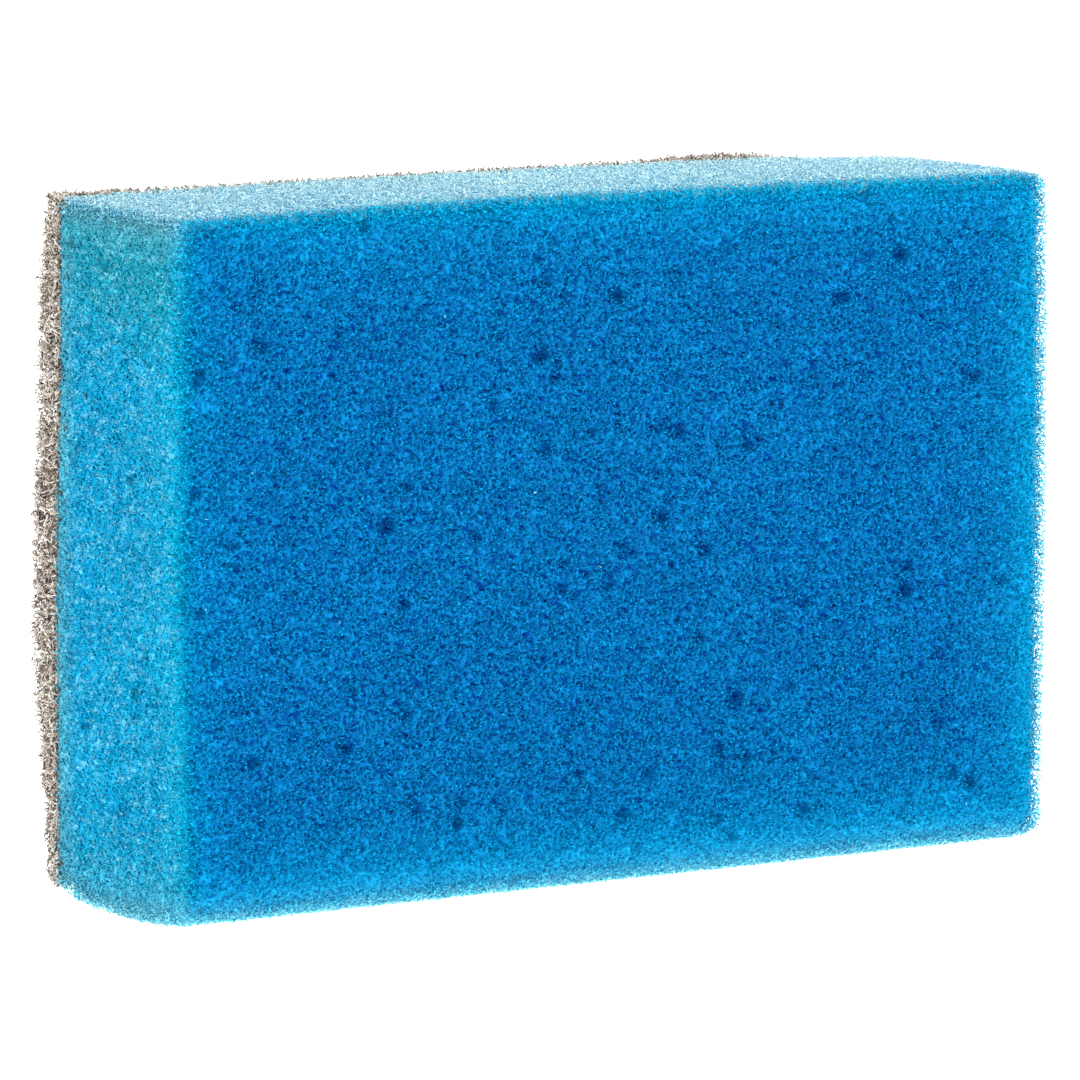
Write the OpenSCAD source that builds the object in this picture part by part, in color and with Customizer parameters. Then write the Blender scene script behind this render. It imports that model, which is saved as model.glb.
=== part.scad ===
// Grout clean-up sponge: a block of open-cell foam with a scouring pad glued to its back face.
//
// X runs along the length, Y through the layers from the foam face to the pad face, and Z is up.
// The block stands on its long narrow side, and the origin is at the middle of that side.
// All three layers are slices of one rounded block, because the laminate is cut in one stroke.

/* [Block] */
// Length of the block, along X
block_l = 144; // [100:1:200]
// Height of the block as it stands, along Z
block_h = 100; // [70:1:140]

/* [Layers] */
// Thickness of the foam block
foam_t = 37.5; // [20:0.5:60]
// Thickness of the cured glue film between foam and pad
glue_t = 0.3; // [0.2:0.1:1]
// Thickness of the scouring pad
pad_t = 6.2; // [4:0.2:12]

/* [Edges] */
// Radius of the crisp cut edges round the foam face
face_r = 1; // [0.5:0.1:3]
// Radius of the four corner edges that run from the foam face to the pad face
corner_r = 1.5; // [0.5:0.1:4]
// Radius of the softer edges round the pad face
pad_r = 1.5; // [0.5:0.1:4]
// Radius of the lower pad edge, which is worn rounder than the rest
worn_r = 5; // [2:0.5:8]

/* [Hidden] */
$fn = 64;

// Depth of the whole laminate, along Y
block_t = foam_t + glue_t + pad_t;
// Y of the foam face, of the two sides of the glue film, and of the pad face
face_y = -block_t / 2;
glue_y = face_y + foam_t;
pad_y = glue_y + glue_t;
back_y = block_t / 2;
// How far a cutting shape runs past the block, so that no two faces coincide
over = 1;

// The scrap that rounds one corner: the corner is at the origin, and the material is in +X +Y.
module corner_scrap(r) {
    difference() {
        translate([-over, -over]) square(r + over);
        translate([r, r]) circle(r);
    }
}

// A rectangle from the origin with its own radius at each corner.
module rounded_rect(w, h, low_left, low_right, high_right, high_left) {
    difference() {
        square([w, h]);
        corner_scrap(low_left);
        translate([w, 0]) mirror([1, 0]) corner_scrap(low_right);
        translate([w, h]) rotate(180) corner_scrap(high_right);
        translate([0, h]) mirror([0, 1]) corner_scrap(high_left);
    }
}

// The outline seen from the end, with depth to the right and height up, run along X.
module end_profile() {
    translate([-block_l / 2, face_y, 0])
        rotate([90, 0, 90])
            linear_extrude(block_l)
                rounded_rect(block_t, block_h, face_r, worn_r, pad_r, face_r);
}

// The outline seen from above, run along Z.
module top_profile() {
    translate([-block_l / 2, face_y, 0])
        linear_extrude(block_h)
            rounded_rect(block_l, block_t, face_r, face_r, pad_r, pad_r);
}

// The outline seen from the foam face, run along Y.
module face_profile() {
    translate([-block_l / 2, back_y, 0])
        rotate([90, 0, 0])
            linear_extrude(block_t)
                rounded_rect(block_l, block_h, corner_r, corner_r, corner_r, corner_r);
}

// The whole rounded block, before it is divided into layers.
module block() {
    intersection() {
        end_profile();
        top_profile();
        face_profile();
    }
}

// The slice of the block between two depths.
module layer(from_y, to_y) {
    intersection() {
        block();
        translate([-block_l / 2 - over, from_y, -over])
            cube([block_l + 2 * over, to_y - from_y, block_h + 2 * over]);
    }
}

// Open-cell polyurethane foam, the wiping side.
module foam_block() {
    color([0.02, 0.45, 0.72]) layer(face_y - over, glue_y);
}

// The film of glue that joins the two layers over their whole area.
module glue_film() {
    color([0.86, 0.84, 0.76]) layer(glue_y, pad_y);
}

// Non-woven abrasive fibre, the scouring side.
module scouring_pad() {
    color([0.66, 0.63, 0.58]) layer(pad_y, back_y + over);
}

foam_block();
glue_film();
scouring_pad();
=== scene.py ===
import math

import bpy
import numpy as np
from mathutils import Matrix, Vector


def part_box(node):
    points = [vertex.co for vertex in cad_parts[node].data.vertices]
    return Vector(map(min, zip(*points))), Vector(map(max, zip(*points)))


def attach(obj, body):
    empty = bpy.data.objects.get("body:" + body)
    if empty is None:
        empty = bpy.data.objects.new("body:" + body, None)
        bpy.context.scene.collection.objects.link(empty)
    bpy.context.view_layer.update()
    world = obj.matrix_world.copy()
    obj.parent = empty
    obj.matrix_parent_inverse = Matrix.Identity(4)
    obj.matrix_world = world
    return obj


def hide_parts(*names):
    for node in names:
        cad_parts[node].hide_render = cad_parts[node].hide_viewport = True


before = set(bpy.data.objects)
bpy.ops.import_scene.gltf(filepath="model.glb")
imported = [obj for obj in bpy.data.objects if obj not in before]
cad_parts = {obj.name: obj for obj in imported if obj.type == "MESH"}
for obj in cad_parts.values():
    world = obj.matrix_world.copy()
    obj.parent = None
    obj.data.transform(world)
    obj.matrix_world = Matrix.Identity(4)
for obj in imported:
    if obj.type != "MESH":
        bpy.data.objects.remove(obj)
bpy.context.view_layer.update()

# The looks of a grout sponge: open-cell foam, a glue web and a non-woven scouring pad. Meshes are worked
# out in millimetres, in the CAD frame: X along the block, Y from the foam face to the pad face, Z up.
MM = 0.001
SEED = 20417
rng = np.random.default_rng(SEED)

FOAM_LOW, FOAM_HIGH = (np.array(corner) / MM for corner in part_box("foam_block"))
GLUE_LOW, GLUE_HIGH = (np.array(corner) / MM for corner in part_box("glue_film"))
PAD_LOW, PAD_HIGH = (np.array(corner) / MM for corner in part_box("scouring_pad"))
HALF_LENGTH = FOAM_HIGH[0]
HEIGHT = FOAM_HIGH[2]
FACE_Y = FOAM_LOW[1]
DEPTH = PAD_HIGH[1] - FOAM_LOW[1]


# ------------------------------------------------------------------------------------------ numbers

# How far noise fields reach past the block.
NOISE_MARGIN = 10


def smoothstep(x, low, high):
    """0 below low, 1 above high, and smooth between."""
    t = np.clip((x - low) / (high - low), 0, 1)
    return t * t * (3 - 2 * t)


def fall(distance, strength, reach):
    """A strength that holds at a distance of 0 and falls to about a third of itself over each reach."""
    return strength * np.exp(-distance / reach)


def unit(v):
    return v / np.maximum(np.linalg.norm(v, axis=-1, keepdims=True), 1e-9)


def noise_field(size, seed, width=1):
    """A function of points that gives smooth noise from -1 to 1, with lumps about size mm across. It gives
    a row of width values for each point, or plain values when width is 1."""
    low = FOAM_LOW - NOISE_MARGIN
    counts = np.ceil((PAD_HIGH + NOISE_MARGIN - low) / size).astype(int) + 2
    values = np.random.default_rng(seed).uniform(-1, 1, (*counts, width)).astype(np.float32)

    def noise(points):
        # The clip ends just short of the last lattice point, because each cell needs the one after it.
        at = np.clip((points - low) / size, 0, counts - 1.001)
        cell = at.astype(int)
        part = (at - cell).astype(np.float32)
        part = part * part * (3 - 2 * part)
        total = 0
        for corner in np.ndindex(2, 2, 2):
            x, y, z = (part[:, axis] if up else 1 - part[:, axis] for axis, up in enumerate(corner))
            i, j, k = (cell + corner).T
            total = total + (x * y * z)[:, None] * values[i, j, k]
        return total[:, 0] if width == 1 else total

    return noise


# The block's soft shape. Swells, leans and lifts are in mm. A span says where a change begins and where it
# is complete, as shares of the half length from the middle, of the height, or of the depth from the face.
END_SWELL, END_SPAN, END_DEPTHS = 1.4, (0.2, 1.0), (0.0, 0.8)
RIGHT_END_LEVEL = 0.7
END_LEAN, LEAN_LEVEL, LEAN_HEIGHTS, LEAN_DEPTHS = 1.6, 0.3, (0.15, 0.6), (0.25, 0.9)
FACE_SWELL, FACE_SPAN = 0.8, (0.3, 1.0)
TOP_CROWN, CROWN_LOSS = 0.75, 0.3
CORNER_SAG, SAG_SPAN, SAG_DEPTHS, SAG_TIP = 0.7, (0.55, 1.0), (0.3, 1.0), (0.93, 1.01)
BELLY, BELLY_HEIGHTS = 2.2, (0.0, 0.3)
WORN_LIFT, WORN_DEPTHS = 2.2, (0.72, 1.0)


def settle(points):
    """The block's soft shape: what cutting, wear and its own weight did to a true cuboid."""
    across = (points[:, 1] - FACE_Y) / DEPTH
    up = points[:, 2] / HEIGHT
    along = points[:, 0] / HALF_LENGTH
    swell = np.sin(math.pi * np.clip(up, 0, 1))
    front = 1 - smoothstep(across, *END_DEPTHS)
    low = 1 - smoothstep(up, *BELLY_HEIGHTS)
    to_left, to_right = smoothstep(-along, *END_SPAN), smoothstep(along, *END_SPAN)
    moved = points.copy()
    moved[:, 0] -= END_SWELL * to_left * swell * front
    moved[:, 0] += END_SWELL * to_right * (RIGHT_END_LEVEL + (1 - RIGHT_END_LEVEL) * swell)
    lean = END_LEAN * (LEAN_LEVEL + (1 - LEAN_LEVEL) * smoothstep(1 - up, *LEAN_HEIGHTS))
    moved[:, 0] -= lean * to_left * smoothstep(across, *LEAN_DEPTHS)
    moved[:, 1] -= FACE_SWELL * smoothstep(-along, *FACE_SPAN) * swell * front
    moved[:, 2] += TOP_CROWN * up * (1 - along**2) * (1 - CROWN_LOSS * across)
    moved[:, 2] -= CORNER_SAG * up * smoothstep(along, *SAG_SPAN) * smoothstep(across, *SAG_DEPTHS)
    moved[:, 2] -= CORNER_SAG * (2 * up - 1) * smoothstep(along, *SAG_TIP)
    moved[:, 2] += WORN_LIFT * smoothstep(across, *WORN_DEPTHS) ** 2 * low
    moved[:, 2] += BELLY * (1 - np.sin(math.pi * np.clip(across, 0, 1)) * low)
    moved[:, 2] = np.maximum(moved[:, 2], 0)
    return moved


def box_distance(points, low, high, radius):
    """Signed distance to a box with rounded edges, negative inside."""
    q = np.abs(points - (low + high) / 2) - (high - low) / 2 + radius
    return np.linalg.norm(np.maximum(q, 0), axis=1) + np.minimum(q.max(1), 0) - radius


# ------------------------------------------------------------------------------------------ meshes

# A box's sides are numbered: the two ends in X, then the two in Y, then the two in Z, low before high.
FRONT_SIDE, BACK_SIDE, UNDER_SIDE, TOP_SIDE = 2, 3, 4, 5
SIDE_AXES = [(1, 2), (1, 2), (0, 2), (0, 2), (0, 1), (0, 1)]
# Where each side goes on the square sheet of a baked texture, as the place of its corner in mm. The wide
# side that shows goes to SHEET_MAIN, and the glued one, which is hidden, is drawn small at SHEET_SPARE.
SHEET = 236.0
SHEET_MARGIN = 2.0
SHEET_PLACES = {0: (150, 0), 1: (194, 0), UNDER_SIDE: (0, 106), TOP_SIDE: (0, 152)}
SHEET_MAIN, SHEET_SPARE, SPARE_SCALE = (0, 0), (152, 106), 0.5
# How wide a tube's tips are, and how far a grain's corners reach, as shares of the radius.
TUBE_TIP = 0.3
GRAIN_REACH = (0.6, 1.3)


def nearest_side(points, low, high):
    """The number of the box side that each point is nearest to."""
    return np.stack([points - low, high - points], 2).reshape(len(points), 6).argmin(1)


def lay_out(mesh, points, faces, low, high, hidden):
    """Gives the mesh the map that its textures are baked on: each face lies flat, side by side."""
    middle = points[faces].mean(1)
    side = nearest_side(middle, low, high)
    shown = FRONT_SIDE + BACK_SIDE - hidden
    uv = np.zeros((*faces.shape, 2))
    places = {**SHEET_PLACES, shown: SHEET_MAIN, hidden: SHEET_SPARE}
    for number, corner in places.items():
        mine = side == number
        axes = list(SIDE_AXES[number])
        scale = SPARE_SCALE if number == hidden else 1.0
        flat = points[faces[mine]][:, :, axes] - low[axes] + SHEET_MARGIN
        uv[mine] = (np.array(corner) + flat * scale) / SHEET
    layer = mesh.uv_layers.new(name="OFBake")
    layer.data.foreach_set("uv", uv.astype(np.float32).ravel())


def make_mesh(name, points, faces, home, hidden, attributes=None):
    """A mesh object from arrays in mm. faces has a row of point numbers for each face, home is the box
    that the piece belongs to, and hidden is the number of that box's glued side."""
    corners = faces.shape[1]
    mesh = bpy.data.meshes.new(name)
    mesh.vertices.add(len(points))
    mesh.vertices.foreach_set("co", (settle(points) * MM).astype(np.float32).ravel())
    mesh.loops.add(faces.size)
    mesh.loops.foreach_set("vertex_index", faces.astype(np.int32).ravel())
    mesh.polygons.add(len(faces))
    mesh.polygons.foreach_set("loop_start", np.arange(0, faces.size, corners, dtype=np.int32))
    mesh.polygons.foreach_set("use_smooth", np.ones(len(faces), bool))
    for key, values in (attributes or {}).items():
        layer = mesh.attributes.new(key, "FLOAT", "POINT")
        layer.data.foreach_set("value", np.asarray(values, np.float32))
    mesh.update(calc_edges=True)
    lay_out(mesh, points, faces, *home, hidden)
    piece = bpy.data.objects.new(name, mesh)
    bpy.context.scene.collection.objects.link(piece)
    return piece


def box_shell(low, high, step):
    """A lattice over a box's surface, about step apart: its points and its quads."""
    counts = np.maximum(np.round((high - low) / step).astype(int), 1)
    stride = np.array([(counts[1] + 1) * (counts[2] + 1), counts[2] + 1, 1])
    keys, quads = [], []
    for axis in range(3):
        a, b = (axis + 1) % 3, (axis + 2) % 3
        for end in (0, 1):
            u, v = np.meshgrid(np.arange(counts[a] + 1), np.arange(counts[b] + 1), indexing="ij")
            key = u * stride[a] + v * stride[b] + end * counts[axis] * stride[axis]
            ring = [key[:-1, :-1], key[1:, :-1], key[1:, 1:], key[:-1, 1:]]
            if end == 0:
                ring.reverse()
            quads.append(np.stack([corner.ravel() for corner in ring], 1))
            keys.append(key.ravel())
    kept = np.unique(np.concatenate(keys))
    faces = np.searchsorted(kept, np.concatenate(quads))
    lattice = np.stack([kept // stride[0], kept % stride[0] // stride[1], kept % stride[1]], 1)
    return low + lattice * (high - low) / counts, faces


def round_off(points, low, high, radius):
    """Points on a box's surface, moved onto the same box with rounded edges, and their outward normals."""
    inner = np.clip(points, low + radius, high - radius)
    out = unit(points - inner)
    return inner + out * radius, out


def cross_frames(directions):
    """Two unit vectors square to each direction and to each other, turned at random about it."""
    side = unit(np.cross(directions, unit(rng.normal(size=directions.shape))))
    return side, np.cross(directions, side)


def struts(starts, ends, radius):
    """A closed sliver from each start to its end, wide one way at the start and the other at the end."""
    side, other = cross_frames(unit(ends - starts))
    wide, tall = side * radius[:, None], other * radius[:, None]
    points = np.stack([starts + wide, starts - wide, ends + tall, ends - tall], 1).reshape(-1, 3)
    sliver = np.array([[0, 1, 2], [1, 0, 3], [2, 3, 0], [3, 2, 1]])
    faces = (np.arange(len(starts))[:, None, None] * 4 + sliver).reshape(-1, 3)
    return points, faces


def tubes(paths, radius):
    """A three-sided tube along each path, narrow at both ends. paths is threads x stations x 3."""
    threads, stations = paths.shape[:2]
    heading = unit(np.gradient(paths, axis=1))
    side = unit(np.cross(heading, unit(rng.normal(size=(threads, 1, 3)))))
    other = np.cross(heading, side)
    width = np.repeat(radius[:, None], stations, 1)
    width[:, [0, -1]] *= TUBE_TIP
    rings = []
    for turn in range(3):
        angle = turn * 2 * math.pi / 3
        rings.append(paths + (side * math.cos(angle) + other * math.sin(angle)) * width[:, :, None])
    points = np.stack(rings, 2).reshape(-1, 3)
    wall = np.array([[0, 1, 4, 3], [1, 2, 5, 4], [2, 0, 3, 5]])
    along = (np.arange(stations - 1) * 3)[:, None, None] + wall
    faces = (np.arange(threads) * stations * 3)[:, None, None, None] + along
    return points, faces.reshape(-1, 4)


def grains(centres, radius):
    """An uneven eight-sided grain at each centre."""
    spin = unit(rng.normal(size=(len(centres), 3)))
    side, other = cross_frames(spin)
    corners = []
    for axis in (spin, side, other):
        for sign in (1, -1):
            reach = radius * rng.uniform(*GRAIN_REACH, len(centres)) * sign
            corners.append(centres + axis * reach[:, None])
    points = np.stack(corners, 1).reshape(-1, 3)
    upper = [[0, 2, 4], [2, 1, 4], [1, 3, 4], [3, 0, 4]]
    lower = [[2, 0, 5], [1, 2, 5], [3, 1, 5], [0, 3, 5]]
    faces = np.arange(len(centres))[:, None, None] * 6 + np.array(upper + lower)
    return points, faces.reshape(-1, 3)


# ------------------------------------------------------------------------------------------ foam

# The foam runs a little into the glue web, and its back is square.
FOAM_BOX = (FOAM_LOW, FOAM_HIGH + np.array([0, 0.1, 0]))
# The same block with its back far away, so that rounding leaves the glued side alone.
FOAM_LONG = (FOAM_LOW, FOAM_HIGH + np.array([0, 20, 0]))

# The core's cells: bubbles on a jittered grid. Jitter and radii are shares of a cell.
CELL = 0.78
CELL_JITTER = 0.42
CELL_RADII = (0.52, 0.68)
GRID_MARGIN = 1.5
CARVE_STEPS = 3
TOUCH = 0.02
# The core's skin: its lattice, how far it lies under the block's faces, and how round its edges are.
SKIN_STEP = 0.3
SKIN_JITTER = 0.3
SKIN_INSET = 0.5
SKIN_ROUND = 4.2
# How deep the cells sink into it at most, what share of that is kept, and what share on the cut sides.
PIT_DEPTH = 0.8
SINK_SHARE = 0.7
SIDE_OPENNESS = 0.3
# Painted shade on the core, from 0 to 1: on its skin, in cells, in wide pores for each mm, and in small
# holes.
SKIN_DARK, CELL_DARK, PORE_DARK, HOLE_DARK = 0.3, 0.35, 0.3, 0.6

# The net of struts over the core: a Kelvin foam in its own turned axes.
NET_CELL = 1.06
NET_JITTER, JITTERS = 0.1, 1 << 18
NET_WARP, WARP_SIZE = 0.35, 3.1
NET_DEPTH = 0.75
NET_ROUND = 1.3
NET_OVERLAP = 0.5
NET_PROUD = 0.05
NET_TURN = (0.31, 0.47, 0.22)
LINK_LENGTH = math.sqrt(2) / 4
# Foam rises as it sets, so its cells are longer through the block than across it.
RISE = np.array([1, 1.7, 1])
STRUT_RADII = (0.06, 0.12)
STRUT_POINTS = 4
# Some struts are as wide as flakes: the remains of the skin that closed a cell's window.
FLAKE_SHARE, FLAKE_WIDTH = 0.18, 2.3
BROKEN_SHARE = 0.05
# Painted shade on struts that lie low, near the core.
STRUT_DARK = 0.5
# Multipliers that scatter the numbers of cells and joints over the list of jitters.
HASH_OFFSET, HASH_CELL, HASH_SITE = 500, (73856093, 19349663, 83492791), 2971215

# Small dark holes, where a cell's window lies open down to the next cell. The cut sides have fewer.
HOLE_SIZE, HOLE_DEPTH = 0.45, 0.5
HOLE_LEVEL, SIDE_HOLE_LEVEL, HOLE_EDGE = 0.42, 0.62, 0.1
# Round pores much wider than a cell. Most are small, and their middles lie a share of a radius deep.
WIDE_PORES = 420
WIDE_PORE_RADII, PORE_SKEW = (0.3, 1.25), 2.5
PORE_SINK = (0.1, 0.6)
PORE_MARGIN = 2
PORE_WALL = 0.4
FAR = 9.0

# Noise over the block's faces that says where the small holes and the pale patches are.
PATCH_SIZE = 0.4
small_holes = noise_field(HOLE_SIZE, seed=61)
pale_patches = noise_field(PATCH_SIZE, seed=62)


def wide_pores():
    """Wide pores scattered just under the block's faces: their centres and their radii."""
    low, high = FOAM_BOX
    spot = rng.uniform(low + PORE_MARGIN, high - PORE_MARGIN, (WIDE_PORES, 3))
    length, depth, height = np.round(high - low)
    area = np.array([depth * height, depth * height, length * height, 0, length * depth, length * depth])
    side = rng.choice(6, WIDE_PORES, p=area / area.sum())
    small, large = WIDE_PORE_RADII
    radius = small + (large - small) * rng.random(WIDE_PORES) ** PORE_SKEW
    axis = side // 2
    face = np.where(side % 2, high[axis], low[axis])
    inward = np.where(side % 2, -1, 1)
    spot[np.arange(WIDE_PORES), axis] = face + inward * radius * rng.uniform(*PORE_SINK, WIDE_PORES)
    return spot, radius


def beside(points, pores, reach):
    """For each wide pore, its centre, its radius and the numbers of the points within reach of it in X."""
    order = np.argsort(points[:, 0])
    along = points[order, 0]
    for centre, radius in zip(*pores):
        span = (centre[0] - radius - reach, centre[0] + radius + reach)
        first, last = np.searchsorted(along, span)
        yield centre, radius, order[first:last]


def pore_gap(points, pores):
    """How far each point is from the wall of the nearest wide pore: negative inside, and at most FAR."""
    gap = np.full(len(points), FAR)
    for centre, radius, near in beside(points, pores, NET_CELL):
        gap[near] = np.minimum(gap[near], np.linalg.norm(points[near] - centre, axis=1) - radius)
    return gap


def foam_cells():
    """Bubbles on a jittered grid that fills the block: their centres, radii and the grid's corner."""
    low, high = FOAM_BOX
    corner = low - GRID_MARGIN * CELL
    counts = np.ceil((high - corner) / CELL).astype(int) + 2
    index = np.stack(np.meshgrid(*[np.arange(n) for n in counts], indexing="ij"), -1)
    centres = corner + (index + 0.5 + rng.uniform(-CELL_JITTER, CELL_JITTER, index.shape)) * CELL
    radii = CELL * rng.uniform(*CELL_RADII, counts)
    return centres.astype(np.float32), radii.astype(np.float32), corner


def through(points, inward, depth, centres, radii):
    """How deep each point ends up if it is inside its ball when it has sunk by depth along inward."""
    to = centres - points
    along = np.einsum("ij,ij->i", to, inward)
    room = radii**2 - np.einsum("ij,ij->i", to, to) + along**2
    half = np.sqrt(np.maximum(room, 0))
    inside = (room > 0) & (along - half <= depth + TOUCH)
    return np.where(inside, np.maximum(depth, along + half), depth)


def carve(points, inward, cells, pores):
    """How far each point sinks along inward into the wide pores, and then on into the cells it meets."""
    centres, radii, corner = cells
    last = np.array(radii.shape) - 1
    flat_centres, flat_radii = centres.reshape(-1, 3), radii.ravel()
    points, inward = points.astype(np.float32), inward.astype(np.float32)
    hollow = np.zeros(len(points), np.float32)
    for centre, radius, near in beside(points, pores, PORE_WALL):
        hollow[near] = through(points[near], inward[near], hollow[near], centre, radius + PORE_WALL)
    points = points + inward * hollow[:, None]
    depth = np.zeros(len(points), np.float32)
    around = np.array(list(np.ndindex(3, 3, 3))) - 1
    for _ in range(CARVE_STEPS):
        home = np.floor((points + inward * depth[:, None] - corner) / CELL).astype(int)
        reach = depth
        for step in around:
            i, j, k = np.clip(home + step, 0, last).T
            number = (i * (last[1] + 1) + j) * (last[2] + 1) + k
            found = through(points, inward, depth, flat_centres[number], flat_radii[number])
            reach = np.maximum(reach, found)
        depth = reach
    return hollow, PIT_DEPTH * (1 - np.exp(-depth / PIT_DEPTH))


def on_face(points):
    """Each point moved straight out to the nearest side of the block, and that side's number."""
    low, high = FOAM_LONG
    side = nearest_side(points, low, high)
    axis = side // 2
    flat = points.copy()
    flat[np.arange(len(points)), axis] = np.where(side % 2, high[axis], low[axis])
    return flat, side


def make_foam_core(pores):
    """The opaque body of the foam: a shell under the struts, rounder than the block, carved into cells."""
    low, high = FOAM_BOX
    lattice, faces = box_shell(low, high, SKIN_STEP)
    points, out = round_off(lattice, *FOAM_LONG, SKIN_ROUND)
    back = lattice[:, 1] > high[1] - 1e-6
    points[back, 1] = high[1]
    out[back] *= (1, 0, 1)
    sideways = rng.uniform(-SKIN_JITTER, SKIN_JITTER, points.shape) * SKIN_STEP * (1 - np.abs(out))
    sideways[back] = 0
    points = points + sideways - out * SKIN_INSET
    hollow, sink = carve(points, -unit(out), foam_cells(), pores)
    hollow[back] = 0
    sink[back] = 0
    tints = foam_tints(points)
    flat, side = on_face(points)
    openness = np.where(side == FRONT_SIDE, 1, SIDE_OPENNESS)
    dark = smoothstep(small_holes(flat), HOLE_LEVEL - HOLE_EDGE, HOLE_LEVEL + HOLE_EDGE) * openness
    dark[back] = 0
    points = points - out * (hollow + SINK_SHARE * sink * openness + HOLE_DEPTH * dark)[:, None]
    # Painted shade: darker on the skin under the struts, in cells, in wide pores and in small holes.
    pit_shade = SKIN_DARK + CELL_DARK * sink / PIT_DEPTH + PORE_DARK * hollow + HOLE_DARK * dark
    tints["edge"] = np.clip(tints["edge"], 0, 1)
    tints["pit_shade"] = np.clip(pit_shade, 0, 1)
    return make_mesh("foam_core", points, faces, FOAM_BOX, BACK_SIDE, tints)


# The foam's tints, from 0 to 1. A pair for fall() is a strength and a reach in mm, and a span is where a
# tint comes in. Spans named HEIGHTS are shares of the height, and the others are in mm.
# The wide face and the left or right end take over from the faces beside them across these spans.
WIDE_SPAN, ON_END_SPAN = (-1.2, 2.6), (-1.0, 1.5)
# Light that comes through the foam: at the wide face's edges, less at its left, and more at its lower edge
# and right end. The narrow sides have an even glow, stronger near the wide face.
LIT_EDGE, LIT_RIM, LIT_LOSS = (0.56, 4.5), (0.35, 1.6), (0.45, 9)
LIT_BELOW, LIT_RIGHT, LIT_CORNER = (0.6, 4.5), (0.25, 3), (0.4, 2)
GLOW_LEVEL, GLOW_BY_FACE, GLOW_RIGHT = 0.6, (0.35, 4.5), (0.7, 3)
# Greener foam high and low on the ends, away from the wide face, and in the strip beside the glue.
# On the ends this darker green is partly the foam's own tone and partly painted shade.
TEAL_HIGH, TEAL_HIGH_HEIGHTS = 0.85, (0.72, 0.96)
TEAL_LOW, TEAL_LOW_HEIGHTS = 0.35, (0.03, 0.16)
TEAL_DEPTHS = (0.0, 7.0)
GLUE_STRIP, TEAL_STRIP, PALE_STRIP = 6.0, 0.65, 0.08
# The top, pale from its cut struts and from painted sheen, which is painted paler towards the back and
# right.
TOP_GAP, TOP_SPAN, TOP_DEPTHS = 0.6, (0.0, 0.8), (0.4, 1.2)
PALE_TOP_AND_SHEEN, PAINTED_LIGHT_BACK, PAINTED_LIGHT_BACK_DEPTHS, PAINTED_LIGHT_RIGHT = 0.43, 0.12, (5, 28), 0.03
# Painted sheen on the edges round the top: on the ends' shoulders and along the crests.
SHOULDER_SHEEN = (0.45, 1.8)
CREST_SHEEN, CREST_DEPTHS = (0.45, 1.5), (0.5, 2.0)
# Pale patches of torn windows, partly painted light: the noise levels where they begin, on the top and
# elsewhere, and are full, and how strongly they whiten each side.
TORN_TOP, TORN_ELSEWHERE, TORN_FULL, TORN_DEPTHS = 0.05, 0.3, 0.65, (0.0, 3.0)
TORN_PALE = np.array([0.0, 0.0, 0.0, 0.0, 0.2, 0.5])
TORN_EDGE = 0.3
# Painted light on the ragged fringe at the right end, and on the lower edge, whose pairs are for face and
# ends.
FRINGE_LIGHT, FRINGE_SPAN, FRINGE_WANDER = (0.85, 2.5), (-2.7, -1.3), 0.8
UNDER_STRENGTHS, UNDER_REACHES, UNDER_WANDER = (0.72, 0.9), (1.0, 1.8), 0.8
# How much tints differ from strut to strut, and the few struts with painted glints.
TINT_SPREAD = (0.6, 1.4)
PAINTED_GLINT_SHARE, PAINTED_GLINT = 0.0006, 0.6


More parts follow.
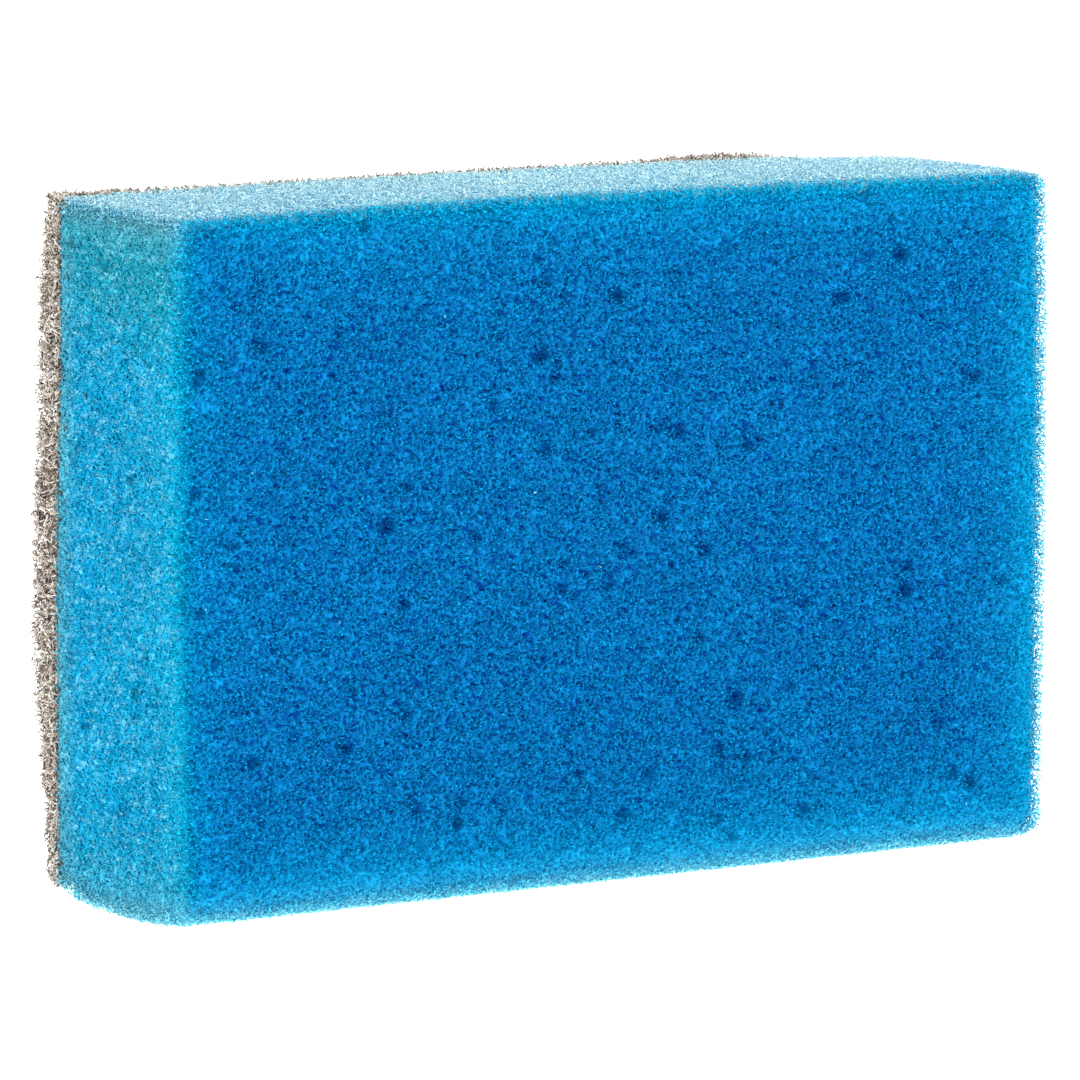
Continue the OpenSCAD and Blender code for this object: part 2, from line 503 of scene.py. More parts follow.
def foam_tints(points):
    """What colours the foam from place to place: lit and glow are painted light where light comes through
    it, teal is greener and partly painted shade, pale is cut struts and glue with painted sheen, and edge
    is painted light and glints. Elsewhere the wide face is deep blue. The edge tint may pass 1 here, and is
    clipped once it has been varied."""
    left, right = points[:, 0] + HALF_LENGTH, HALF_LENGTH - points[:, 0]
    end = np.minimum(left, right)
    behind = points[:, 1] - FACE_Y
    bottom, top = points[:, 2], HEIGHT - points[:, 2]
    up = points[:, 2] / HEIGHT
    narrow = np.minimum.reduce([end, bottom, top])
    wide = smoothstep(narrow - behind, *WIDE_SPAN)
    on_end = smoothstep(np.minimum.reduce([behind, bottom, top]) - end, *ON_END_SPAN)
    from_right, from_face, from_top, from_bottom = (np.maximum(d, 0) for d in (right, behind, top, bottom))
    by_glue = smoothstep(points[:, 1], FOAM_HIGH[1] - GLUE_STRIP, FOAM_HIGH[1])

    lit = (fall(narrow, *LIT_EDGE) + fall(narrow, *LIT_RIM)) * (1 - fall(left, *LIT_LOSS))
    lit = lit + fall(bottom, *LIT_BELOW) + fall(from_right, *LIT_RIGHT)
    corner = fall(np.maximum(np.maximum(narrow, behind), 0), *LIT_CORNER)
    lit = np.clip(np.maximum(wide * lit, corner), 0, 1)
    glow = (1 - wide) * (GLOW_LEVEL + fall(behind, *GLOW_BY_FACE))
    glow = np.maximum(glow, fall(from_right, *GLOW_RIGHT))

    # The greener tone on the ends is partly painted shade.
    teal = TEAL_HIGH * smoothstep(up, *TEAL_HIGH_HEIGHTS)
    teal = on_end * (teal + TEAL_LOW * (1 - smoothstep(up, *TEAL_LOW_HEIGHTS)))
    teal = np.maximum(teal * smoothstep(behind, *TEAL_DEPTHS), TEAL_STRIP * by_glue)

    on_top = smoothstep(np.minimum(behind - TOP_GAP, end) - top, *TOP_SPAN)
    on_top = on_top * (1 - smoothstep(top, *TOP_DEPTHS))
    # Painted light and sheen: the top paler towards the back and the right, and sheen over the edges round
    # it.
    painted_light_gradient = PAINTED_LIGHT_BACK * smoothstep(behind, *PAINTED_LIGHT_BACK_DEPTHS) + PAINTED_LIGHT_RIGHT * points[:, 0] / HALF_LENGTH
    shoulder_sheen = on_end * fall(from_top, *SHOULDER_SHEEN)
    crest_sheen = fall(np.hypot(top, end), *CREST_SHEEN) * smoothstep(behind, *CREST_DEPTHS)
    pale_and_sheen = np.maximum.reduce([on_top * (PALE_TOP_AND_SHEEN + painted_light_gradient), shoulder_sheen, crest_sheen, PALE_STRIP * by_glue])

    flat, side = on_face(points)
    patches = pale_patches(flat / RISE)
    torn = smoothstep(patches, np.where(side == TOP_SIDE, TORN_TOP, TORN_ELSEWHERE), TORN_FULL)
    torn = torn * smoothstep(behind, *TORN_DEPTHS)
    pale_and_sheen = np.clip(pale_and_sheen + TORN_PALE[side] * torn, 0, 1)

    # Painted light on the ragged right end and along the lower edge.
    fringe_light = smoothstep(FRINGE_WANDER * patches - right, *FRINGE_SPAN) * fall(from_face, *FRINGE_LIGHT)
    strength, reach = (face + (ends - face) * on_end for face, ends in (UNDER_STRENGTHS, UNDER_REACHES))
    under_light = fall(from_bottom, strength, reach) * (1 + UNDER_WANDER * patches)
    edge = np.maximum.reduce([fringe_light, under_light, TORN_EDGE * torn * on_end])
    return {"lit": lit, "glow": glow, "teal": teal, "pale_and_sheen": pale_and_sheen, "edge": edge}


def kelvin_links():
    """The joints of a Kelvin foam in one cubic cell, and the links from them: the two joints' numbers and
    the steps to the other one's cell."""
    sites = []
    for axis in range(3):
        for quarter in (0.25, 0.75):
            for half, none in ((0.5, 0.0), (0.0, 0.5)):
                sites.append(np.roll((quarter, half, none), axis))
    sites = np.array(sites)
    links = []
    for a, site in enumerate(sites):
        for shift in np.array(list(np.ndindex(3, 3, 3))) - 1:
            for b, other in enumerate(sites):
                length = np.linalg.norm(other + shift - site)
                if abs(length - LINK_LENGTH) < 1e-6 and (tuple(shift), b) > ((0, 0, 0), a):
                    links.append((a, b, *shift))
    return sites, links


def turned():
    """The net's own axes, turned so that no face of the block lies along a layer of cells."""
    rows = np.eye(3)
    for axis, angle in enumerate(NET_TURN):
        a, b = (axis + 1) % 3, (axis + 2) % 3
        turn = np.eye(3)
        turn[[a, b], [a, b]] = math.cos(angle)
        turn[a, b], turn[b, a] = -math.sin(angle), math.sin(angle)
        rows = rows @ turn
    return rows


def in_net(points, pores, slack):
    """Whether each point is where struts show: just under the faces, along the edges or round a pore."""
    outside = box_distance(points / RISE, FOAM_LONG[0] / RISE, FOAM_LONG[1] / RISE, NET_ROUND)
    wedge = box_distance(points, *FOAM_LONG, SKIN_ROUND) > -NET_OVERLAP - slack
    shown = (outside > -NET_DEPTH - slack) | wedge
    inside = (outside < NET_PROUD + slack) & (points[:, 1] < FOAM_BOX[1][1] + slack)
    gap = pore_gap(points, pores)
    return inside & (shown | (gap < NET_DEPTH + slack)) & (gap > -slack)


def make_foam_net(pores):
    """The open struts of the outermost cells, each a real sliver: a Kelvin foam, jittered and broken."""
    sites, links = kelvin_links()
    axes = turned()
    middle = sum(FOAM_BOX) / 2
    reach = int(np.linalg.norm(FOAM_BOX[1] - FOAM_BOX[0]) / 2 / NET_CELL) + 2
    span = np.arange(-reach, reach + 1)
    plane = np.stack(np.meshgrid(span, span, indexing="ij"), -1).reshape(-1, 2)
    cells = []
    for i in span:
        cell = np.column_stack([np.full(len(plane), i), plane])
        centre = middle + (cell + 0.5) @ axes * NET_CELL * RISE
        cells.append(cell[in_net(centre, pores, NET_CELL)])
    cells = np.concatenate(cells)
    jitter = rng.normal(0, NET_JITTER, (JITTERS, 3))
    warp = noise_field(WARP_SIZE, seed=11, width=3)

    def joint(cell, site):
        """Where a joint of each cell is. Every strut that meets there finds the same place."""
        mixed = (cell + HASH_OFFSET) @ HASH_CELL + site * HASH_SITE
        place = middle + (cell + sites[site] + jitter[mixed % JITTERS]) @ axes * NET_CELL * RISE
        return place + NET_WARP * warp(place)

    starts = np.concatenate([joint(cells, a) for a, *_ in links])
    ends = np.concatenate([joint(cells + shift, b) for _, b, *shift in links])
    centre = (starts + ends) / 2
    keep = in_net(centre, pores, 0) & (rng.random(len(centre)) > BROKEN_SHARE)
    flat, side = on_face(centre)
    keep &= small_holes(flat) < np.where(side == FRONT_SIDE, HOLE_LEVEL, SIDE_HOLE_LEVEL)
    starts, ends = starts[keep], ends[keep]
    radius = rng.uniform(*STRUT_RADII, len(starts))
    radius[rng.random(len(starts)) < FLAKE_SHARE] *= FLAKE_WIDTH
    points, faces = struts(starts, ends, radius)
    tints = foam_tints(points)
    uneven = np.repeat(rng.uniform(*TINT_SPREAD, len(starts)), STRUT_POINTS)
    # A few struts get painted glints.
    painted_glint = np.repeat(PAINTED_GLINT * (rng.random(len(starts)) < PAINTED_GLINT_SHARE), STRUT_POINTS)
    tints["pale_and_sheen"] = np.clip(tints["pale_and_sheen"] * uneven, 0, 1)
    tints["edge"] = np.clip(np.maximum(tints["edge"] * uneven, painted_glint), 0, 1)
    # Painted shade on struts that lie low, near the core.
    above_core = box_distance(points, *FOAM_LONG, SKIN_ROUND) + SKIN_INSET
    tints["pit_shade"] = STRUT_DARK * (1 - np.clip(above_core / SKIN_INSET, 0, 1))
    return make_mesh("foam_struts", points, faces, FOAM_BOX, BACK_SIDE, tints)


# ------------------------------------------------------------------------------------------ scouring pad

PAD_BOX = (PAD_LOW, PAD_HIGH)
# The pad's thickness at its lower edge and middle, as shares of the CAD pad's, and what its top loses.
PAD_SHARES, PAD_SHARE_HEIGHTS = (0.5, 1.15), (-0.06, 0.45)
PAD_LOSS, PAD_LOSS_HEIGHTS = 0.42, (0.72, 1.01)
PAD_WAVE, PAD_WAVE_SIZE = 0.14, 11.0
PAD_RIPPLE, PAD_RIPPLE_SIZE = 0.1, 4.0
# Its top edge drops a little: not at the left end, three times as far at the right, and it rises again
# at one place.
PAD_DROP, PAD_DROP_HEIGHTS = 0.55, (0.85, 1.0)
DROP_LEFT, DROP_RIGHT, RIGHT_DROP = (-1, -0.75), (0.65, 0.9), 2
RISE_PLACE, RISE_WIDTH, RISE_SHARE = 0.53, 0.13, 1.2

# The core under the fibres: its lattice, its insets, its lumps and how its shade varies.
CORE_STEP, CORE_INSET, CORE_OVERLAP, CORE_ROUND = 0.7, 0.7, 0.1, 1.0
CORE_LUMP, CORE_LUMP_SIZE = 0.35, 2.3
CORE_KNOT, CORE_KNOT_SIZE = 0.3, 0.9
CORE_SHADE, CORE_SHADE_SIZE = 0.25, 1.1

FACE_FIBRES = 38000
RIM_FIBRES = 13000
FIBRE_STATIONS, FIBRE_STEP = 8, 0.32
FIBRE_RADII = (0.07, 0.15)
# How much a thread turns at each station, and the shares of the last turn and of a new one in it.
FACE_CURL, RIM_CURL, OLD_TURN, NEW_TURN = 0.45, 0.8, 0.7, 0.6
# How deep the loose fibres reach into the web, and how flat they lie on the scouring face.
WEB_DEPTH, FACE_PROUD, FACE_LIE = 0.55, 0.1, (1, 0.16, 1)
# How far neat and stray fibres may pass the pad's low and high sides.
NEAT_SHARE, NEAT_ROOM = 0.9, np.array([[0.75, -0.1, 0.0], [0.75, 0.65, 0.75]])
STRAY_ROOM = np.array([[1.4, -0.1, 0.0], [1.4, 1.4, 1.4]])
# The fibres' shades: the middle and the spread of most of them, and the shares of dark and bright ones.
FIBRE_SHADES, DARK_SHARE, DARK_SHADE, BRIGHT_SHARE = (0.6, 0.25), 0.08, 0.03, 0.12

# The grains, and the spots in the foam where a few dark crumbs lie together.
GRAINS = 60000
GRAIN_POINTS, GRAIN_RADII, GRAIN_SCATTER = 6, (0.1, 0.26), 0.12
GRAIN_SHADES = [0.0, 0.2, 0.4, 0.6, 1.0]
CRUMB_SPOTS, SPOT_CRUMBS = 70, 5
CRUMB_DEPTH, CRUMB_SCATTER, CRUMB_INSET = 0.9, 0.35, 0.2


def swell_pad(points):
    """Gives the flat pad its uneven thickness: pressed thin along its long edges and full in between."""
    up = points[:, 2] / HEIGHT
    along = points[:, 0] / HALF_LENGTH
    thin, full = PAD_SHARES
    share = thin + (full - thin) * smoothstep(up, *PAD_SHARE_HEIGHTS)
    share = share * (1 - PAD_LOSS * smoothstep(up, *PAD_LOSS_HEIGHTS))
    flat = points * (1, 0, 1)
    share = share + PAD_WAVE * noise_field(PAD_WAVE_SIZE, seed=21)(flat)
    share = share + PAD_RIPPLE * noise_field(PAD_RIPPLE_SIZE, seed=22)(flat)
    moved = points.copy()
    moved[:, 1] = PAD_LOW[1] + (points[:, 1] - PAD_LOW[1]) * share
    rise = RISE_SHARE * np.exp(-((along - RISE_PLACE) / RISE_WIDTH) ** 2)
    drop = smoothstep(along, *DROP_LEFT) - rise + RIGHT_DROP * smoothstep(along, *DROP_RIGHT)
    moved[:, 2] -= PAD_DROP * smoothstep(up, *PAD_DROP_HEIGHTS) * drop
    return moved


def make_pad_core():
    """The dense, lumpy middle of the web, which closes the gaps between the loose fibres."""
    low = PAD_LOW + (CORE_INSET, -CORE_OVERLAP, CORE_INSET)
    high = PAD_HIGH - CORE_INSET
    lattice, faces = box_shell(low, high, CORE_STEP)
    points, out = round_off(lattice, low, high, CORE_ROUND)
    front = lattice[:, 1] < low[1] + 1e-6
    lumps = CORE_LUMP * noise_field(CORE_LUMP_SIZE, seed=31)(points)
    lumps = lumps + CORE_KNOT * noise_field(CORE_KNOT_SIZE, seed=32)(points)
    lumps[front] = 0
    points[front, 1] = low[1]
    points = points + out * lumps[:, None]
    shade = CORE_SHADE * (1 + noise_field(CORE_SHADE_SIZE, seed=33)(points))
    return make_mesh("pad_core", swell_pad(points), faces, PAD_BOX, FRONT_SIDE, {"shade": shade})


def fibre_paths(starts, headings, curl):
    """Wandering threads from each start: stations FIBRE_STEP apart, each a little turned from the last."""
    paths, at, heading = [starts], starts, unit(headings)
    bend = rng.normal(0, curl, starts.shape)
    for _ in range(FIBRE_STATIONS - 1):
        bend = OLD_TURN * bend + rng.normal(0, curl * NEW_TURN, starts.shape)
        heading = unit(heading + bend)
        at = at + heading * FIBRE_STEP
        paths.append(at)
    return np.stack(paths, 1)


def make_pad_fibres():
    """The open web of curled, resin-coated fibres, flat on the scouring face and tangled round the rim.
    Gives the piece and the fibres' paths."""
    low, high = PAD_BOX
    face = rng.uniform(low, high, (FACE_FIBRES, 3))
    face[:, 1] = high[1] - np.abs(rng.normal(0, WEB_DEPTH, FACE_FIBRES)) + FACE_PROUD
    flat = rng.normal(size=face.shape) * FACE_LIE
    rim = rng.uniform(low, high, (RIM_FIBRES, 3))
    length, height = high[0] - low[0], high[2] - low[2]
    long_side = rng.random(RIM_FIBRES) < length / (length + height)
    far_end = rng.random(RIM_FIBRES) < 0.5
    inset = np.abs(rng.normal(0, WEB_DEPTH, RIM_FIBRES))
    rim[:, 2] = np.where(long_side, np.where(far_end, high[2] - inset, low[2] + inset), rim[:, 2])
    rim[:, 0] = np.where(long_side, rim[:, 0], np.where(far_end, high[0] - inset, low[0] + inset))
    loose = rng.normal(size=rim.shape)
    paths = np.concatenate([fibre_paths(face, flat, FACE_CURL), fibre_paths(rim, loose, RIM_CURL)])
    paths = paths - paths.mean(1, keepdims=True) + np.concatenate([face, rim])[:, None]
    neat, stray = (np.clip(paths, low - room[0], high + room[1]) for room in (NEAT_ROOM, STRAY_ROOM))
    is_neat = rng.random(len(paths)) < NEAT_SHARE
    paths = np.where(is_neat[:, None, None], neat, stray)
    paths = swell_pad(paths.reshape(-1, 3)).reshape(paths.shape)
    points, faces = tubes(paths, rng.uniform(*FIBRE_RADII, len(paths)))
    shade = np.clip(rng.normal(*FIBRE_SHADES, len(paths)), 0, 1)
    kind = rng.random(len(paths))
    # The bright fibres are partly painted glints.
    shade = np.where(kind < DARK_SHARE, DARK_SHADE, np.where(kind > 1 - BRIGHT_SHARE, 1.0, shade))
    shade = np.repeat(shade, FIBRE_STATIONS * 3)
    return make_mesh("pad_fibres", points, faces, PAD_BOX, FRONT_SIDE, {"shade": shade}), paths


def make_pad_grit(paths):
    """Abrasive grains and beads of resin on the fibres, and a few dark crumbs in the foam by the glue."""
    thread = rng.integers(0, len(paths), GRAINS)
    station = rng.integers(1, FIBRE_STATIONS - 1, GRAINS)
    centres = paths[thread, station] + rng.normal(0, GRAIN_SCATTER, (GRAINS, 3))
    shade = rng.choice(GRAIN_SHADES, GRAINS)
    spots = rng.uniform(FOAM_LOW, FOAM_HIGH, (CRUMB_SPOTS, 3))
    spots[:, 1] = FOAM_HIGH[1] - rng.exponential(CRUMB_DEPTH, CRUMB_SPOTS)
    axis = rng.choice([0, 2], CRUMB_SPOTS)
    side = np.where(rng.random(CRUMB_SPOTS) < 0.5, FOAM_LOW[axis], FOAM_HIGH[axis])
    spots[np.arange(CRUMB_SPOTS), axis] = side
    crumbs = np.repeat(spots, SPOT_CRUMBS, 0)
    crumbs = crumbs + rng.normal(0, CRUMB_SCATTER, crumbs.shape)
    crumbs = np.clip(crumbs, FOAM_LOW + CRUMB_INSET, FOAM_HIGH - CRUMB_INSET)
    centres = np.concatenate([centres, crumbs])
    shade = np.repeat(np.concatenate([shade, np.zeros(len(crumbs))]), GRAIN_POINTS)
    points, faces = grains(centres, rng.uniform(*GRAIN_RADII, len(centres)))
    return make_mesh("pad_grit", points, faces, PAD_BOX, FRONT_SIDE, {"shade": shade})


# ------------------------------------------------------------------------------------------ glue

# How far the glue soaks into both layers and stays short of the cut sides, and how ragged and wavy it is.
GLUE_SOAK, GLUE_INSET, GLUE_STEP = 0.15, 0.6, 0.9
GLUE_RAG, GLUE_RAG_SIZE = 0.5, 1.7
GLUE_WAVE, GLUE_WAVE_SIZE = 0.12, 2.2


def make_glue_web():
    """The glue film, soaked into both layers: uneven, ragged at its rim and a little short of the sides."""
    low, high = GLUE_LOW - (0, GLUE_SOAK, 0), GLUE_HIGH + (0, GLUE_SOAK, 0)
    inset = GLUE_INSET * np.array([1, 0, 1])
    lattice, faces = box_shell(low + inset, high - inset, GLUE_STEP)
    ragged = GLUE_INSET + GLUE_RAG * noise_field(GLUE_RAG_SIZE, seed=41)(lattice * (1, 0, 1))
    centre = (low + high) / 2
    pull = 1 - ragged[:, None] / np.array([HALF_LENGTH, math.inf, HEIGHT / 2])
    points = centre + (lattice - centre) * pull
    points[:, 1] += GLUE_WAVE * noise_field(GLUE_WAVE_SIZE, seed=42)(points)
    return make_mesh("glue_web", points, faces, (GLUE_LOW, GLUE_HIGH), BACK_SIDE)


# ------------------------------------------------------------------------------------------ materials

WHITE = (1.0, 1.0, 1.0)
FOAM_STRUT = (0.001, 0.295, 0.61)
# Painted shade that the deepest places in the cells run to.
FOAM_PORE_SHADE = (0.0002, 0.06, 0.33)
FOAM_BRIGHT = (0.0015, 0.60, 0.93)
FOAM_GLOW = (0.001, 0.465, 0.655)
# Greener foam, partly painted shade where it lies on the ends.
FOAM_TEAL = (0.012, 0.34, 0.42)
# Pale cut struts and glue, and painted sheen on the top and its edges.
FOAM_PALE_AND_SHEEN = (0.68, 0.90, 0.92)
# Painted light on the ragged right end and lower edge, and painted glints.
FOAM_EDGE_LIGHT = (0.38, 0.93, 1.0)
FOAM_SPOT_SHADE = (0.22, 0.32, 0.46)
FOAM_PATCH = (0.86, 0.89, 0.93)
FOAM_GRAIN = (0.8, 0.84, 0.9)
# Painted shade: dark spots at the middles of some cells, drawn out through the block.
SPOT_SIZE, SPOT_SCALE, SPOT_SPAN = 0.85, (1, 0.15, 1), (0.19, 0.28)
# The dark, the middle and the light of the pad's pieces. The core's are darker, painted shade in its gaps.
CORE_SHADED_COLOURS = ((0.05, 0.03, 0.02), (0.36, 0.30, 0.245), (0.98, 0.96, 0.92))
FIBRE_COLOURS = ((0.05, 0.028, 0.018), (0.63, 0.56, 0.48), (0.98, 0.96, 0.92))
GRIT_COLOURS = ((0.05, 0.028, 0.018), (0.63, 0.56, 0.48), (0.95, 0.92, 0.88))
PAD_STAIN = (0.78, 0.74, 0.70)
PAD_GRAIN = (0.6, 0.58, 0.56)
GLUE_CLOUD, GLUE_CLEAR = (0.50, 0.56, 0.60), (0.72, 0.72, 0.66)
# The part of a noise's range that its colours run over, and the noises of roughness and bump, in mm.
NOISE_SPAN = (0.3, 0.7)
ROUGH_SIZE = 0.8
BUMP_SIZE, BUMP_DETAIL, BUMP_STRENGTH = 0.15, 3.0, 0.5


def new_material(name):
    """A material with one Principled shader. Gives the material, its node tree and the shader."""
    material = bpy.data.materials.new(name)
    material.use_nodes = True
    tree = material.node_tree
    return material, tree, tree.nodes["Principled BSDF"]


def set_input(tree, socket, value):
    """Gives an input its value, which is a number, a colour or another node's socket."""
    if isinstance(value, bpy.types.NodeSocket):
        tree.links.new(value, socket)
    else:
        socket.default_value = value


def node(tree, kind, inputs=None, **settings):
    """A new node with its settings and inputs."""
    made = tree.nodes.new("ShaderNode" + kind)
    for key, value in settings.items():
        setattr(made, key, value)
    for key, value in (inputs or {}).items():
        set_input(tree, made.inputs[key], value)
    return made


def attribute(tree, name):
    return node(tree, "Attribute", attribute_name=name).outputs["Fac"]


def ramp(tree, factor, *stops):
    """A colour ramp. Each stop is a place and a colour."""
    made = node(tree, "ValToRGB", {"Fac": factor})
    bar = made.color_ramp
    while len(bar.elements) < len(stops):
        bar.elements.new(0.5)
    for element, (place, colour) in zip(bar.elements, stops):
        element.position = place
        element.color = (*colour, 1)
    return made.outputs["Color"]


def mix(tree, factor, a, b, blend="MIX"):
    """The socket a blended with b, which is a colour or a socket. factor is a number or a socket."""
    made = node(tree, "Mix", data_type="RGBA", blend_type=blend)
    factor_in, a_in, b_in = (made.inputs[place] for place in (0, 6, 7))
    set_input(tree, factor_in, factor)
    set_input(tree, a_in, a)
    set_input(tree, b_in, (*b, 1) if isinstance(b, tuple) else b)
    return made.outputs[2]


def noise_texture(tree, size_mm, detail=2.0):
    """Noise in the object's own space, with features about size_mm across."""
    place = node(tree, "TexCoord").outputs["Object"]
    made = node(tree, "TexNoise", {"Vector": place, "Scale": 1 / (size_mm * MM), "Detail": detail})
    return made.outputs["Fac"]


def cloudy(tree, first, second, size_mm, detail=2.0):
    """A colour that wanders between two."""
    low, high = NOISE_SPAN
    return ramp(tree, noise_texture(tree, size_mm, detail), (low, first), (high, second))


def mottle(tree, colour, shade, size_mm, detail=2.0):
    """The colour, multiplied by one that wanders between a shade and white."""
    return mix(tree, 1.0, colour, cloudy(tree, shade, WHITE, size_mm, detail), "MULTIPLY")


def finish_surface(tree, shader, colour, rough, bump_mm):
    """Links the colour, a roughness that varies between two values, and a fine bump of a given height."""
    tree.links.new(colour, shader.inputs["Base Color"])
    rough_noise = noise_texture(tree, ROUGH_SIZE)
    spread = node(tree, "MapRange", {"Value": rough_noise, "To Min": rough[0], "To Max": rough[1]})
    tree.links.new(spread.outputs["Result"], shader.inputs["Roughness"])
    height = noise_texture(tree, BUMP_SIZE, BUMP_DETAIL)
    bump = node(tree, "Bump", {"Height": height, "Strength": BUMP_STRENGTH, "Distance": bump_mm * MM})
    tree.links.new(bump.outputs["Normal"], shader.inputs["Normal"])


def foam_material(name):
    """Matt blue foam: painted shade in its cells, and paler and greener with painted light, sheen and
    glints.
    """
    material, tree, shader = new_material(name)
    # Painted shade: darker where a point lies deep in the cells.
    colour = ramp(tree, attribute(tree, "pit_shade"), (0.0, FOAM_STRUT), (1.0, FOAM_PORE_SHADE))
    # Painted shade: dark spots at the middles of some cells.
    place = node(tree, "TexCoord").outputs["Object"]
    place = node(tree, "Mapping", {"Vector": place, "Scale": SPOT_SCALE}).outputs["Vector"]
    cells = node(tree, "TexVoronoi", {"Vector": place, "Scale": 1 / (SPOT_SIZE * MM)})
    inner, outer = SPOT_SPAN
    spots = ramp(tree, cells.outputs["Distance"], (inner, FOAM_SPOT_SHADE), (outer, WHITE))
    colour = mix(tree, 1.0, colour, spots, "MULTIPLY")
    # Painted light where light comes through, and a greener tone that is partly painted shade.
    for tint, tinted in (("glow", FOAM_GLOW), ("lit", FOAM_BRIGHT), ("teal", FOAM_TEAL)):
        colour = mix(tree, attribute(tree, tint), colour, tinted)
    colour = mottle(tree, colour, FOAM_PATCH, size_mm=9.0)
    colour = mottle(tree, colour, FOAM_GRAIN, size_mm=0.6, detail=4.0)
    # Pale cut struts and glue with painted sheen, then painted light and glints at the edges.
    for tint, tinted in (("pale_and_sheen", FOAM_PALE_AND_SHEEN), ("edge", FOAM_EDGE_LIGHT)):
        colour = mix(tree, attribute(tree, tint), colour, tinted)
    finish_surface(tree, shader, colour, rough=(0.35, 0.6), bump_mm=0.03)
    shader.inputs["Specular IOR Level"].default_value = 0.03
    return material


def pad_material(name, colours, gloss):
    """Resin-coated fibre, from dark to bright resin by each piece's shade. On the core the dark is painted
    shade in the gaps, and the brightest fibres are partly painted glints.
    """
    material, tree, shader = new_material(name)
    dark, middle, light = colours
    colour = ramp(tree, attribute(tree, "shade"), (0.0, dark), (0.5, middle), (1.0, light))
    colour = mottle(tree, colour, PAD_STAIN, size_mm=3.5)
    colour = mottle(tree, colour, PAD_GRAIN, size_mm=0.3, detail=4.0)
    finish_surface(tree, shader, colour, rough=(0.3, 0.7), bump_mm=0.04)
    shader.inputs["Specular IOR Level"].default_value = gloss
    return material


def glue_material():
    """Cured glue: pale, slightly yellow, with cloudy patches."""
    material, tree, shader = new_material("cured_glue")
    colour = cloudy(tree, GLUE_CLOUD, GLUE_CLEAR, size_mm=2.5)
    finish_surface(tree, shader, colour, rough=(0.25, 0.5), bump_mm=0.05)
    return material


# ------------------------------------------------------------------------------------------ stage

WORLD_LIGHT = 1.0
FLOOR_LIGHT, FLOOR_GREY, FLOOR_REACH = 1.3, 0.95, 15.0
# Each lamp's place and aim in metres, its width in metres, and its power in watts.
LAMPS = {
    "key": ((-0.2, 0.25, 1.1), (0, 0, 0.08), 0.7, 7.9),
    "fill": ((0.15, -1.0, 0.55), (0, 0, 0.05), 0.8, 3.6),
    "side": ((-1.1, -0.25, 0.45), (0, 0, 0.05), 0.6, 2.8),
    "rim": ((1.1, 0.1, 0.35), (0, 0, 0.05), 0.6, 3.0),
}
# The lens and sensor are in mm, the bearing in degrees, the distance in metres, and the aim in mm.
LENS, SENSOR = 246.3, 36.0
AZIMUTH, ELEVATION, DISTANCE = -29.9, 8.16, 1.0865
AIM = (-1.63, 0.47, 47.2 + BELLY)


def add_area(name, place, aim, size, power):
    """A soft square lamp at place that points at aim."""
    lamp = bpy.data.lights.new(name, "AREA")
    lamp.size = size
    lamp.energy = power
    holder = bpy.data.objects.new(name, lamp)
    holder.location = place
    holder.rotation_mode = "QUATERNION"
    holder.rotation_quaternion = (Vector(aim) - Vector(place)).to_track_quat("-Z", "Y")
    bpy.context.scene.collection.objects.link(holder)


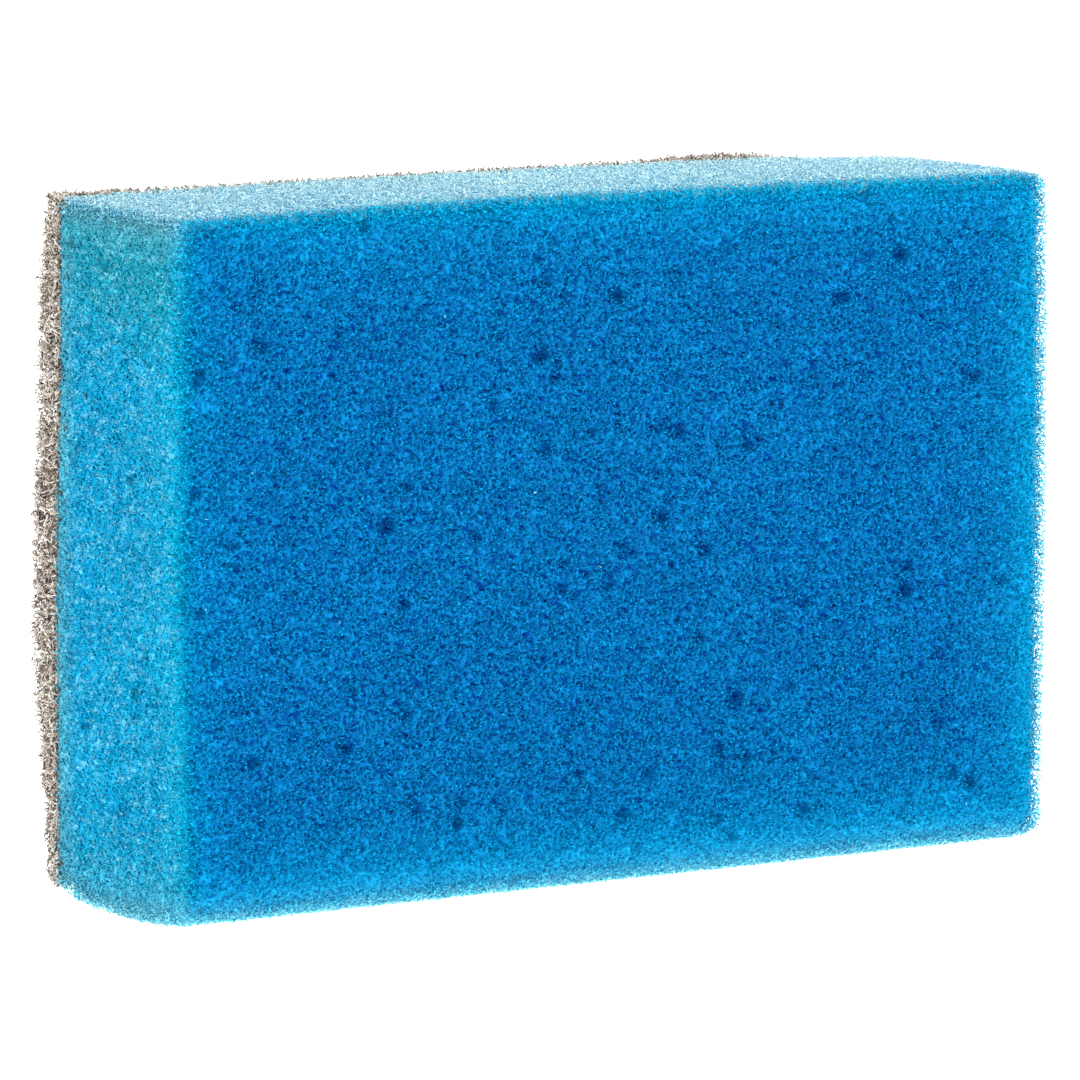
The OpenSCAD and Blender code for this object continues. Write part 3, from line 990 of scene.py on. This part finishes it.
def make_stage():
    """A pale floor, an even pale sky, and large soft lamps above, in front and at both ends."""
    scene = bpy.context.scene
    scene.view_settings.view_transform = "Standard"
    scene.world = bpy.data.worlds.new("studio")
    scene.world.use_nodes = True
    sky = scene.world.node_tree.nodes["Background"]
    sky.inputs["Color"].default_value = (*WHITE, 1)
    sky.inputs["Strength"].default_value = WORLD_LIGHT
    mesh = bpy.data.meshes.new("floor")
    corners = [(x * FLOOR_REACH, y * FLOOR_REACH, 0) for x, y in ((-1, -1), (1, -1), (1, 1), (-1, 1))]
    mesh.from_pydata(corners, [], [(0, 1, 2, 3)])
    floor = bpy.data.objects.new("floor", mesh)
    scene.collection.objects.link(floor)
    material, _, shader = new_material("pale_floor")
    shader.inputs["Base Color"].default_value = (FLOOR_GREY, FLOOR_GREY, FLOOR_GREY, 1)
    shader.inputs["Roughness"].default_value = 0.9
    shader.inputs["Specular IOR Level"].default_value = 0.0
    shader.inputs["Emission Color"].default_value = (*WHITE, 1)
    shader.inputs["Emission Strength"].default_value = FLOOR_LIGHT
    mesh.materials.append(material)
    for name, (place, aim, size, power) in LAMPS.items():
        add_area(name, place, aim, size, power)


def make_camera():
    """A long lens over a metre away, 30 degrees round to the block's left and a little above it."""
    data = bpy.data.cameras.new("camera")
    data.lens = LENS
    data.sensor_width = SENSOR
    data.clip_start, data.clip_end = 0.05, 60
    camera = bpy.data.objects.new("camera", data)
    azimuth, elevation = math.radians(AZIMUTH), math.radians(ELEVATION)
    across, along = math.sin(azimuth) * math.cos(elevation), -math.cos(azimuth) * math.cos(elevation)
    back = Vector((across, along, math.sin(elevation)))
    camera.location = Vector(AIM) * MM + back * DISTANCE
    camera.rotation_mode = "QUATERNION"
    camera.rotation_quaternion = (-back).to_track_quat("-Z", "Y")
    bpy.context.scene.collection.objects.link(camera)
    bpy.context.scene.camera = camera


# ------------------------------------------------------------------------------------------ the sponge

def dress(piece, material, slot, *nodes):
    """Gives a piece its material and its body, and hides the CAD nodes that it stands for. slot is not
    used.
    """
    piece.data.materials.append(material)
    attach(piece, "root")
    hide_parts(*nodes)


make_camera()
make_stage()

pore_list = wide_pores()
core = make_foam_core(pore_list)
net = make_foam_net(pore_list)
dress(core, foam_material("foam_cells"), "foam", "foam_block")
dress(net, foam_material("foam_struts"), "foam", "foam_block")

dress(make_glue_web(), glue_material(), "glue", "glue_film")

pad_core = make_pad_core()
pad_fibres, fibre_lines = make_pad_fibres()
pad_grit = make_pad_grit(fibre_lines)
dress(pad_core, pad_material("matted_fibre_shaded", CORE_SHADED_COLOURS, 0.2), "abrasive_fibre", "scouring_pad")
dress(pad_fibres, pad_material("resin_fibre", FIBRE_COLOURS, 0.6), "abrasive_fibre", "scouring_pad")
dress(pad_grit, pad_material("grit", GRIT_COLOURS, 0.8), "abrasive_fibre", "scouring_pad")
